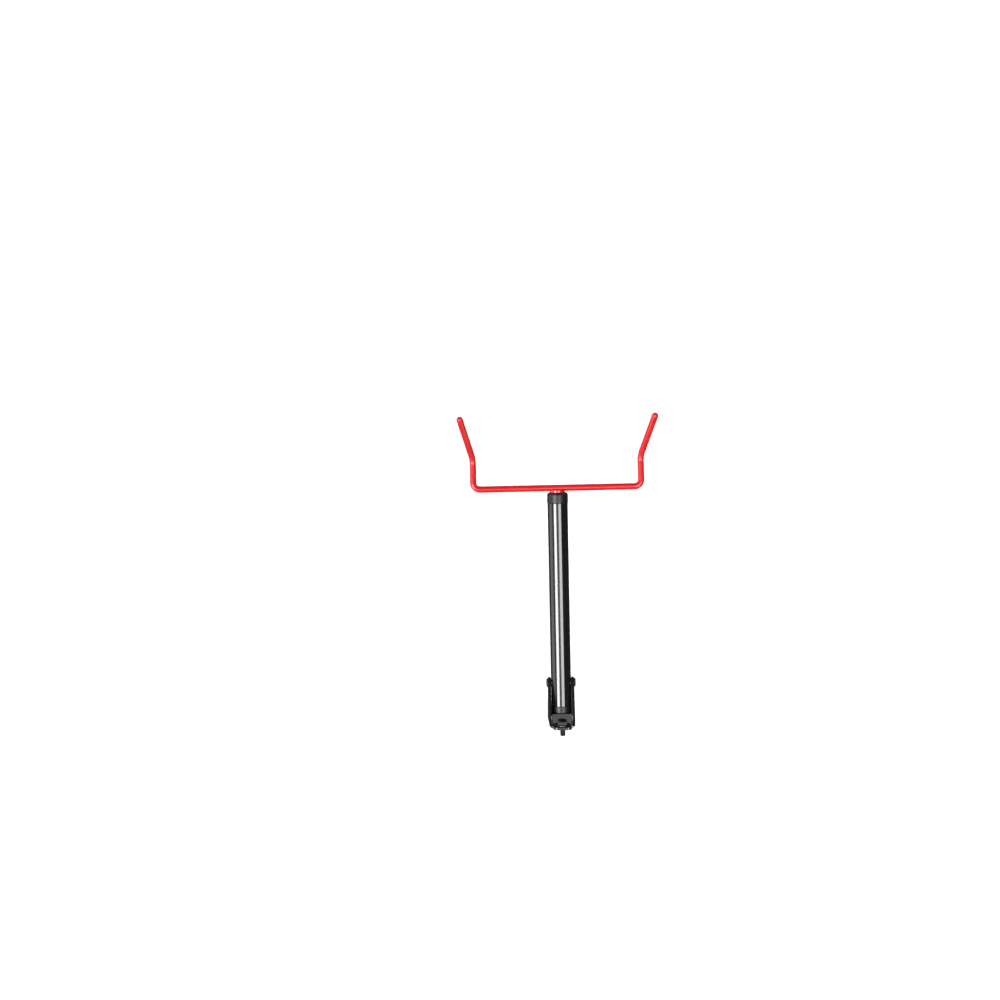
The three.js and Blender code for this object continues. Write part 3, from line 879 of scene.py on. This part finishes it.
def armTubePiece(look):
    t = armTube
    radius = t["radius"]
    half = math.pi * radius
    beyond = half + 3        # the blank is rolled past its seam and trimmed there
    outline = [(-beyond, -t["front"]), (beyond, -t["front"]), (beyond, t["tail"]), (-beyond, t["tail"])]
    holes = []
    for side in (-1, 1):
        loop = []
        for i in range(64):
            angle = 2 * math.pi * i / 64
            up = t["hingeHole"] * math.sin(angle)
            loop.append((side * radius * math.acos(-up / radius), t["hingeHole"] * math.cos(angle)))
        holes.append(loop)
    ends = radius * math.radians(t["slotHalfAngle"]) - t["slotHalfWidth"]
    slot = arc2d((ends, -t["slotReach"]), t["slotHalfWidth"], -90, 90)
    slot += arc2d((-ends, -t["slotReach"]), t["slotHalfWidth"], 90, 270)
    holes.append(slot)
    cuts = [-half + 2 * half * i / t["strips"] for i in range(1, t["strips"])]

    def rolled(across, along, depth):
        angle = across / radius
        return Vector(((radius - depth) * math.sin(angle), along, -(radius - depth) * math.cos(angle)))

    tube = platePiece("armTube", outline, holes, t["wall"], t["edgeRound"], cuts, rolled, armPlace,
                      (-half, half))
    smoothed(tube)
    roundShaded(tube, armPlace, [(radius, 1), (radius - t["wall"], -1)])
    return fitted(tube, "arm", "black_paint", look, "arm_tube")


armEnds = {
    "tailEnd": 54,           # hinge to the tail cap's end
    "tailRound": 3.2,
    "tailGroove": 0.35,      # shadow line where the cap meets the tube
    "plugRadius": 12.7,
    "plugIn": 15,
    "capWall": 2,
    "collarRadius": 15.5,
    "noseEnd": 286.16,
    "noseRound": 4,
    "sleeveIn": 15,          # front bush inside the tube
    "bushBore": 11.3,
    "rearBush": (220.16, 230.16),
    "gap": 0.3,
}


def armEndPieces(plastic, nylon):
    e = armEnds
    radius = armTube["radius"]
    seat = armTube["tail"] + e["gap"]
    mouth = armTube["tail"] - e["plugIn"]
    bore = e["plugRadius"] - e["capWall"]
    floor = e["tailEnd"] - e["tailRound"] - e["capWall"]
    plug = e["plugRadius"]
    cap = filleted([(0, e["tailEnd"], 0), (radius, e["tailEnd"], e["tailRound"]),
                    (radius, seat, e["tailGroove"]), (plug, seat, 0), (plug, mouth, 0.4), (bore, mouth, 0.4),
                    (bore, floor, 1.5), (0, floor, 0)], closed=False, step=11)
    piece = smoothed(turned("tailCap", cap, armPlace))
    fitted(piece, "arm", "black_plastic", plastic, "tail_cap")
    front = -armTube["front"]
    inner = front + e["sleeveIn"]
    shoulder = front - e["gap"]
    nose = -e["noseEnd"]
    hollow = e["bushBore"]
    collar = e["collarRadius"]
    bush = filleted([(hollow, inner, 0.3), (plug, inner, 0.5), (plug, shoulder, 0), (collar, shoulder, 0.4),
                     (collar, nose, e["noseRound"]), (hollow, nose, 0.15)], step=9)
    piece = smoothed(turned("frontBush", bush, armPlace, closed=True))
    fitted(piece, "arm", "black_plastic", plastic, "front_bush")
    near, far = e["rearBush"]
    bush = filleted([(hollow, -far, 0.3), (plug, -far, 0.3), (plug, -near, 0.3), (hollow, -near, 0.3)],
                    step=30)
    piece = smoothed(turned("rearBush", bush, armPlace, closed=True))
    fitted(piece, "arm", "nylon", nylon, "rear_bush")


# cradle
cradleRod = {
    "radius": 4.75,
    "spacing": 250,          # between the legs, axis to axis
    "corner": 10,
    "barReach": 292.713,     # hinge to the back bar's axis
    "leg": 45.5,
    "legDrop": 8,
    "crook": 19,
    "finger": 88,
    "fingerRise": 42,
    "fingerSplay": 15.5,
    "sides": 48,
}


def hookCorners(side):
    c = cradleRod
    drop = math.radians(c["legDrop"])
    rise = math.radians(c["fingerRise"])
    splay = math.radians(c["fingerSplay"])
    level = math.cos(rise)
    barEnd = Vector((side * c["spacing"] / 2, -c["barReach"], 0))
    crook = barEnd + Vector((0, -math.cos(drop), -math.sin(drop))) * c["leg"]
    finger = Vector((side * level * math.sin(splay), -level * math.cos(splay), math.sin(rise)))
    return [crook + finger * (c["finger"] - c["radius"]), crook, barEnd]


def cradleRodPiece(look):
    c = cradleRod
    corners = hookCorners(-1) + hookCorners(1)[::-1]
    axis = filletedPath(corners, [c["crook"], c["corner"], c["corner"], c["crook"]])
    path, radii = roundedEnds(axis, c["radius"])
    rod = skin("cradleRod", tubeRings(path, lambda i: radii[i], c["sides"]), armPlace)
    smoothed(rod, 60)
    return fitted(rod, "cradle", "red_coat", look, "cradle_rod")


cradleStem = {
    "radius": 11,
    "bore": 8.5,
    "rear": 218.16,
    "front": 289.66,         # hinge to the end that wraps the back bar
    "floor": 2.5,            # steel behind the bar
    "groove": 5.05,
    "beadRadius": 1.3,
    "beadPitch": 1.7,
    "beadHalf": 9.0,
}


def cradleStemPieces(look):
    s = cradleStem
    outer = s["radius"]
    bore = s["bore"]
    rear = -s["rear"]
    bar = cradleRod["barReach"]

    def endFace(radius):
        # flat, with a round groove across it for the back bar
        def along(angle):
            height = radius * math.sin(angle)
            groove = math.sqrt(max(s["groove"] ** 2 - height ** 2, 0))
            return max(-s["front"], -bar + groove) if groove else -s["front"]
        return along

    floor = -(bar - cradleRod["radius"] - s["floor"])
    rim = endFace(outer)
    stations = [(0, floor), (bore - 0.8, floor), (bore, floor + 0.8), (bore, rear - 0.3), (bore + 0.3, rear),
                (outer - 0.4, rear), (outer, rear - 0.4), (outer, lambda a: rim(a) + 0.4)]
    for radius in [(outer - 0.35) * (1 - i / 24) for i in range(25)]:
        stations.append((radius, endFace(radius)))
    stem = smoothed(turned("cradleStem", stations, armPlace), 40)
    fitted(stem, "cradle", "red_coat", look, "cradle_stem")
    reach = bar - s["front"]
    height = math.sqrt(cradleRod["radius"] ** 2 - reach ** 2) + 0.2
    for label, side in (("Upper", 1), ("Lower", -1)):
        start = Vector((-s["beadHalf"], -s["front"], side * height))
        end = Vector((s["beadHalf"], -s["front"], side * height))
        weldBead("stemWeld" + label, start, end, s["beadRadius"], s["beadPitch"], armPlace, look,
                 "cradle", "cradle_rod", "red_coat")


tiltLock = {
    "reach": 243.16,         # hinge to the screw
    "saddleRadius": 9,
    "saddleWrap": 13.1,      # below the arm's axis, where the saddle's horns end
    "saddleBase": 18.5,
    "tubeBearing": 15.3,
    "hole": 3.3,
    "headRadius": 5.25,
    "headHeight": 3.3,
    "keyFlats": 4,
    "keyDepth": 2,
    "screwRadius": 3,
    "screwSeat": 18.8,
    "screwLength": 19.2,
    "nutFlats": 10,
    "nut": (0.638, 5.638),   # below the arm's axis
}


def tiltLockPieces(plastic, steel, zinc):
    k = tiltLock
    hole = k["hole"]
    # local y runs down from the arm's axis
    down = armPlace @ Matrix.Translation((0, -k["reach"] * mm, 0)) @ Matrix.Rotation(-math.pi / 2, 4, "X")

    def saddleTop(radius, inset=0.0):
        def along(angle):
            side = radius * math.cos(angle)
            return max(math.sqrt(k["tubeBearing"] ** 2 - side ** 2), k["saddleWrap"]) + inset
        return along

    outer = k["saddleRadius"]
    base = k["saddleBase"]
    stations = [(hole, saddleTop(hole, 0.2))]
    for radius in [hole + 0.25 + (outer - hole - 0.55) * i / 12 for i in range(13)]:
        stations.append((radius, saddleTop(radius)))
    stations += [(outer, saddleTop(outer, 0.3)), (outer, base - 0.9), (outer - 0.27, base - 0.27),
                 (outer - 0.9, base), (hole + 0.25, base), (hole, base - 0.2)]
    saddle = smoothed(turned("saddleWasher", stations, down, closed=True), 40)
    fitted(saddle, "cradle", "black_plastic", plastic, "saddle_washer")
    head = lowHeadRings(k["headRadius"], k["headHeight"], k["keyFlats"], k["keyDepth"])
    place = down @ Matrix.Translation((0, k["screwSeat"] * mm, 0)) @ Matrix.Rotation(0.5, 4, "Y")
    screw = headedPin("lockScrew", k["screwRadius"], k["screwLength"], head, place)
    fitted(screw, "cradle", "black_steel", steel, "lock_screw")
    hexagon = hexReach(k["nutFlats"])
    high, low = k["nut"]
    bevel = k["nutFlats"] / 2 * 0.95

    def bevelled(angle):
        return min(hexagon(angle), bevel + 0.5)

    stations = [(hole, high + 0.3), (hole + 0.3, high), (bevel, high), (bevelled, high + 0.3),
                (hexagon, high + 0.6), (hexagon, low - 0.6), (bevelled, low - 0.3), (bevel, low),
                (hole + 0.3, low), (hole, low - 0.3)]
    nut = smoothed(turned("lockNut", stations, down, closed=True), 32)
    fitted(nut, "cradle", "zinc", zinc, "lock_nut")


# making it
crookPoints = [armPlace @ (hookCorners(side)[1] * mm) for side in (-1, 1)]
blackPaintLook = blackPaintFinish()
redCoatLook = redCoatFinish(crookPoints)
zincLook = zincPlateFinish()
steelLook = blackSteelFinish()
plasticLook = blackPlasticFinish()
nylonLook = naturalNylonFinish()
print("finishes: six made")

bracketPlate(blackPaintLook)
bridgePieces(blackPaintLook)
wallFixings(steelLook)
print("bracket: plate, bridge, welds and wall fixings")

hingePieces(steelLook, blackPaintLook, plasticLook)
print("hinge: barrel, screw, sleeve and washers")

armTubePiece(blackPaintLook)
armEndPieces(plasticLook, nylonLook)
print("arm: tube, tail cap and bushes")

cradleRodPiece(redCoatLook)
cradleStemPieces(redCoatLook)
tiltLockPieces(plasticLook, steelLook, zincLook)
print("cradle: rod, stem, welds and tilt lock")


# floor, light and camera
studio = {
    "floorDrop": 0.50,       # below the rack's origin, metres
    "floorSize": 16.0,
    "floorColour": (0.66, 0.66, 0.65, 1),
    "worldColour": (0.95, 0.97, 1.0, 1),
    "worldStrength": 0.07,
}
# Soft lights: degrees from straight up, to the right and towards the wall; how wide each looks, in
# degrees; and how bright.
softLights = {
    "brightLight": {"right": 35, "back": 14.5, "width": 29, "strength": 3.9},
    "dimLight": {"right": -20.5, "back": 14.5, "width": 29, "strength": 2.2},
}
# Boxes of light, in metres: where each is, the point that it faces, its size and its brightness.
fillBoxes = {
    "overheadBox": ((0.05, 0.35, 2.75), (0.05, 0.35, 0), (1.1, 1.3), 1.35),
    "sideBox": ((1.25, -0.25, 0.02), (0, -0.25, 0.02), (1.6, 1.0), 1.7),
    "frontLeftBox": ((-2.1, -2.3, 0.5), (0, -0.2, 0), (1.3, 1.9), 1.9),
    "frontRightBox": ((2.1, -2.3, 0.5), (0, -0.2, 0), (1.3, 1.9), 1.9),
    "backLeftBox": ((-2.1, 2.1, 0.5), (0, -0.2, 0), (1.3, 1.9), 1.9),
    "backRightBox": ((2.1, 2.1, 0.5), (0, -0.2, 0), (1.3, 1.9), 1.9),
}
skyRadius = 14.0


def floorPiece():
    size = studio["floorSize"] / 2
    shape = bmesh.new()
    steps = 24
    ticks = [-size + 2 * size * i / steps for i in range(steps + 1)]
    grid = [[shape.verts.new((x, y, -studio["floorDrop"])) for y in ticks] for x in ticks]
    for i in range(steps):
        for j in range(steps):
            shape.faces.new((grid[i][j], grid[i + 1][j], grid[i + 1][j + 1], grid[i][j + 1]))
    floor = meshObject("studioFloor", shape)
    pale = Finish("paleFloor", Specular_IOR_Level=0.2)
    cloud = pale.noise(400, detail=3)
    slightlyDarker = tuple(v * 0.97 for v in studio["floorColour"][:3]) + (1,)
    colour = pale.mixed(cloud, studio["floorColour"], slightlyDarker)
    floor.data.materials.append(pale.feed(Base_Color=colour, Roughness=0.75 + cloud * 0.1))
    floor.visible_glossy = False


def lamp(name, light, backwards):
    # a lamp that shines away from this direction
    made = bpy.data.objects.new(name, light)
    made.rotation_euler = backwards.to_track_quat("Z", "Y").to_euler()
    bpy.context.scene.collection.objects.link(made)
    return made


def softLight(name, settings):
    light = bpy.data.lights.new(name, "SUN")
    light.angle = math.radians(settings["width"])
    light.energy = settings["strength"]
    aside, behind = [math.tan(math.radians(settings[way])) for way in ("right", "back")]
    lamp(name, light, Vector((aside, behind, 1)))


def fillBox(name, place, aim, size, brightness):
    light = bpy.data.lights.new(name, "AREA")
    light.shape = "RECTANGLE"
    light.size, light.size_y = size
    light.energy = brightness * math.pi * light.size * light.size_y
    lamp(name, light, Vector(place) - Vector(aim)).location = place


def skyPiece():
    # a plain white surround that is seen past the floor but lights nothing
    shape = bmesh.new()
    bmesh.ops.create_uvsphere(shape, u_segments=48, v_segments=24, radius=skyRadius)
    sky = meshObject("studioSky", shape)
    white = Finish("whiteSky", Emission_Color=(1, 1, 1, 1), Emission_Strength=1.0, Specular_IOR_Level=0.0)
    cloud = white.noise(4000, detail=1)
    colour = white.mixed(cloud, (0.80, 0.80, 0.80, 1), (0.79, 0.79, 0.79, 1))
    sky.data.materials.append(white.feed(Base_Color=colour))
    sky.visible_diffuse = False
    sky.visible_glossy = False
    sky.visible_shadow = False


floorPiece()
skyPiece()
for lightName, settings in softLights.items():
    softLight(lightName, settings)
for lightName, settings in fillBoxes.items():
    fillBox(lightName, *settings)
world = bpy.data.worlds.new("studio")
bpy.context.scene.world = world
world.use_nodes = True
background = world.node_tree.nodes["Background"]
background.inputs["Color"].default_value = studio["worldColour"]
background.inputs["Strength"].default_value = studio["worldStrength"]
bpy.context.scene.view_settings.view_transform = "Standard"
print("studio: floor, white surround, two soft lights and six boxes")

# Straight down from above, a little to one side, turned so that the wall is at the bottom.
view = {
    "place": (0.0856, -0.3419, 2.184),
    "turn": 178.75,
    "lens": 51.95,
}
cameraData = bpy.data.cameras.new("camera")
cameraData.lens = view["lens"]
cameraData.sensor_width = 36
camera = bpy.data.objects.new("camera", cameraData)
camera.location = view["place"]
camera.rotation_euler = (0, 0, math.radians(view["turn"]))
bpy.context.scene.collection.objects.link(camera)
bpy.context.scene.camera = camera
